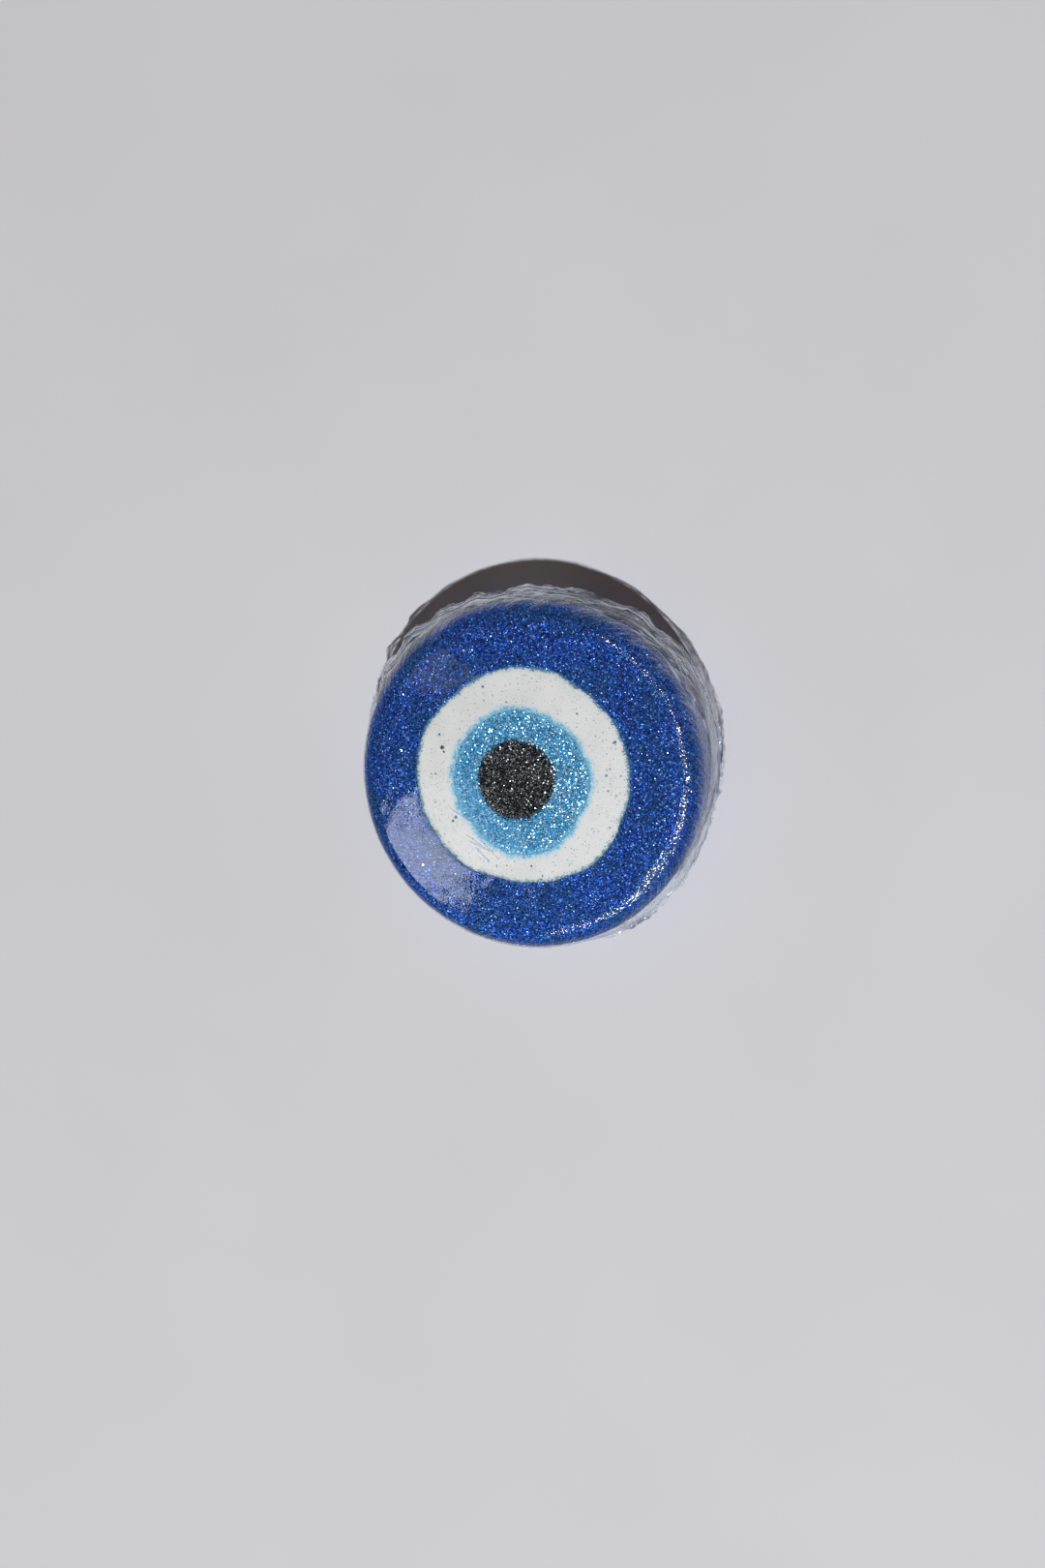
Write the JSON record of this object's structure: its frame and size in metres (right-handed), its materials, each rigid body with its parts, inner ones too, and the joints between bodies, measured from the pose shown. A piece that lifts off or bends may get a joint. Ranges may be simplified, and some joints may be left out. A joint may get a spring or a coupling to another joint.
{
  "type": "evil eye ornament",
  "caption": "Round poured puck with a glittered evil eye on its domed face, sealed in clear shrink film with a welded rim; lies flat as a small decoration.",
  "frame": {"origin": "middle of the underside, where the wrapped puck rests", "axes": "+Z is the axis of the round puck, out of the eye's face; +X and +Y lie in the plane of the face, the pupil being off its middle towards -X"},
  "size_m": [0.0748, 0.0748, 0.024],
  "materials": {
    "blue": "satin, full of fine blue glitter",
    "white": "satin, milky, with a few stray flakes",
    "iris": "satin, with silver glitter",
    "pupil": "satin, with silver glitter",
    "blue_flake": "mirror-bright metallised polyester",
    "silver_flake": "mirror-bright metallised polyester",
    "stray_flake": "mirror-bright metallised polyester, mixed colours",
    "film": "clear, shrunk on, wrinkled round the rim"
  },
  "bodies": {
    "root": {"blue_body": "blue", "white_layer": "white", "iris_layer": "iris", "pupil_layer": "pupil", "blue_glitter": "blue_flake", "iris_glitter": "silver_flake", "pupil_glitter": "silver_flake", "stray_glitter": "stray_flake", "front_film": "film", "back_film": "film", "film_seam": "film"}
  },
  "joints": []
}
